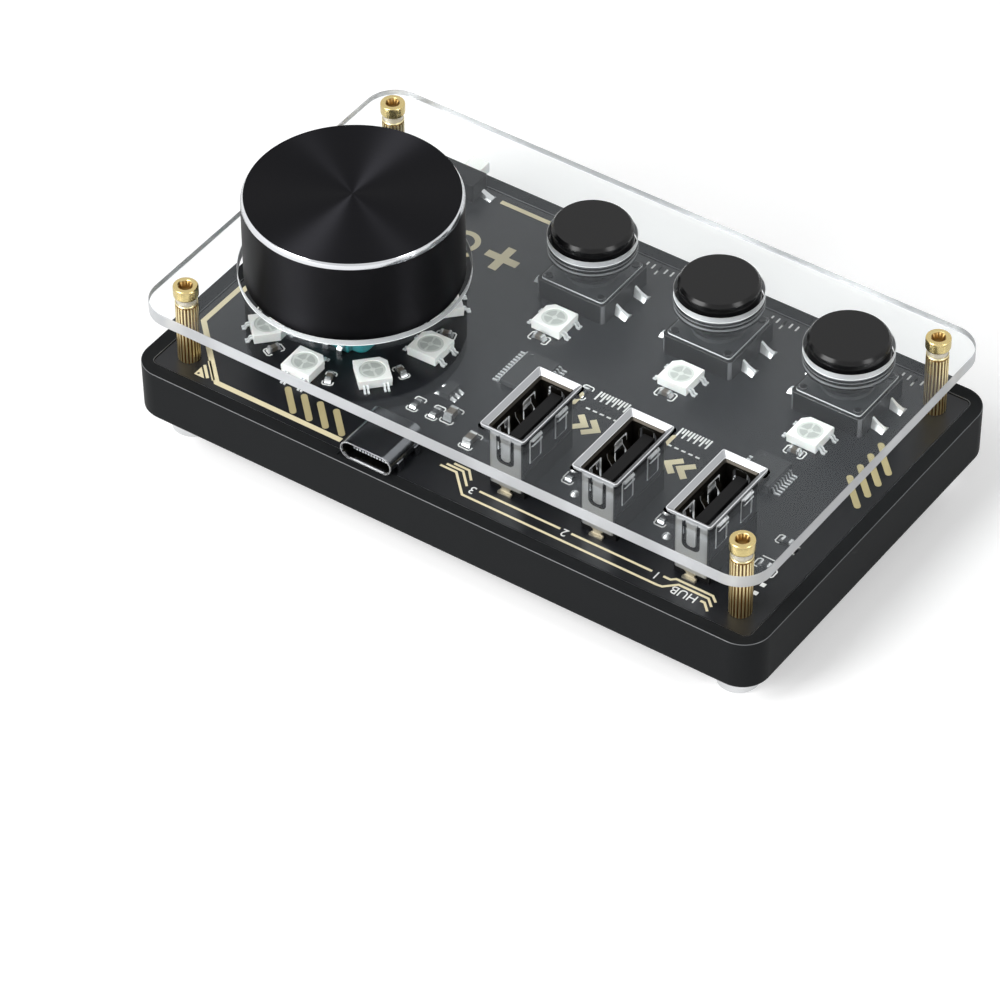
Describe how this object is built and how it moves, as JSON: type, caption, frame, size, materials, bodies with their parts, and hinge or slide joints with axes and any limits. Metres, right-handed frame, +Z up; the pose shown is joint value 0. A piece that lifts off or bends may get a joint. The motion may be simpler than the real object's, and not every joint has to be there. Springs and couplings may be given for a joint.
{
  "type": "macro keypad with knob and ports",
  "caption": "Low desk keypad: dark tray with an open circuit board, clear plate on brass posts, turning push knob, round keys, upright data ports and a small slide switch.",
  "frame": {"origin": "middle of the footprint, at the level the feet stand on", "axes": "+Z up; +X along the long side, from the knob towards the ports; +Y towards the slide switch, away from the inlet"},
  "size_m": [0.1084, 0.0644, 0.0382],
  "materials": {
    "tray_plastic": "fine satin, dark grey",
    "board_mask": "black solder mask",
    "clear_acrylic": "clear, polished faces, sawn edges",
    "brass": "turned brass",
    "gold_contacts": "gold plated",
    "steel": "bright tinned",
    "dark_nickel": "dark nickel",
    "black_nylon": "moulded black",
    "switch_cover": "satin black",
    "cap_plastic": "polished black",
    "knob_aluminium": "black anodised, bright-cut chamfer",
    "shaft_aluminium": "turned",
    "teal_resin": "moulded teal",
    "white_resin": "moulded white",
    "led_gel": "clear gel",
    "natural_nylon": "moulded off-white",
    "chip_resin": "black epoxy",
    "ceramic": "fired ceramic"
  },
  "bodies": {
    "board_unit": {"base_tray": "tray_plastic", "feet": "steel", "circuit_board": "board_mask", "standoffs": "brass", "cap_screws": "brass", "top_plate": "clear_acrylic", "port_shell_1": "steel", "port_shell_2": "steel", "port_shell_3": "steel", "port_tongue_1": "black_nylon", "port_tongue_2": "black_nylon", "port_tongue_3": "black_nylon", "port_contacts": "gold_contacts", "inlet_shell": "dark_nickel", "inlet_tongue": "black_nylon", "inlet_contacts": "gold_contacts", "key_housing_1": "black_nylon", "key_housing_2": "black_nylon", "key_housing_3": "black_nylon", "key_cover_1": "switch_cover", "key_cover_2": "switch_cover", "key_cover_3": "switch_cover", "key_domes": "steel", "key_legs": "steel", "encoder_base": "teal_resin", "encoder_frame": "steel", "encoder_bushing": "shaft_aluminium", "encoder_pins": "steel", "encoder_dome": "steel", "slider_housing": "black_nylon", "slider_legs": "steel", "ring_led_bodies": "white_resin", "ring_led_lenses": "led_gel", "key_led_bodies": "white_resin", "key_led_lenses": "led_gel", "led_leads": "steel", "hub_chip": "chip_resin", "key_chip": "chip_resin", "chip_leads": "steel", "regulator": "chip_resin", "resistors": "chip_resin", "capacitors": "ceramic"},
    "encoder_press": {"encoder_push_pin": "natural_nylon"},
    "turning_knob": {"encoder_shaft": "shaft_aluminium", "encoder_disc": "gold_contacts", "knob_insert": "black_nylon", "knob": "knob_aluminium"},
    "key_1": {"key_plunger_1": "black_nylon", "key_cap_1": "cap_plastic"},
    "key_2": {"key_plunger_2": "black_nylon", "key_cap_2": "cap_plastic"},
    "key_3": {"key_plunger_3": "black_nylon", "key_cap_3": "cap_plastic"},
    "slider": {"slider_lever": "natural_nylon"}
  },
  "joints": [
    {"name": "knob_press", "type": "slide", "parent": "board_unit", "child": "encoder_press", "axis": [0, 0, -1], "range_m": [0, 0.0005], "stiffness_N_per_m": 6000, "springref_m": -0.0004},
    {"name": "knob_turn", "type": "hinge", "parent": "encoder_press", "child": "turning_knob", "pos_m": [-0.032, -0.0062, 0.024], "axis": [0, 0, 1], "continuous": true},
    {"name": "key_press_1", "type": "slide", "parent": "board_unit", "child": "key_1", "axis": [0, 0, -1], "range_m": [0, 0.0003], "stiffness_N_per_m": 5000, "springref_m": -0.0002},
    {"name": "key_press_2", "type": "slide", "parent": "board_unit", "child": "key_2", "axis": [0, 0, -1], "range_m": [0, 0.0003], "stiffness_N_per_m": 5000, "springref_m": -0.0002},
    {"name": "key_press_3", "type": "slide", "parent": "board_unit", "child": "key_3", "axis": [0, 0, -1], "range_m": [0, 0.0003], "stiffness_N_per_m": 5000, "springref_m": -0.0002},
    {"name": "slider_move", "type": "slide", "parent": "board_unit", "child": "slider", "axis": [-1, 0, 0], "range_m": [0, 0.002]}
  ]
}
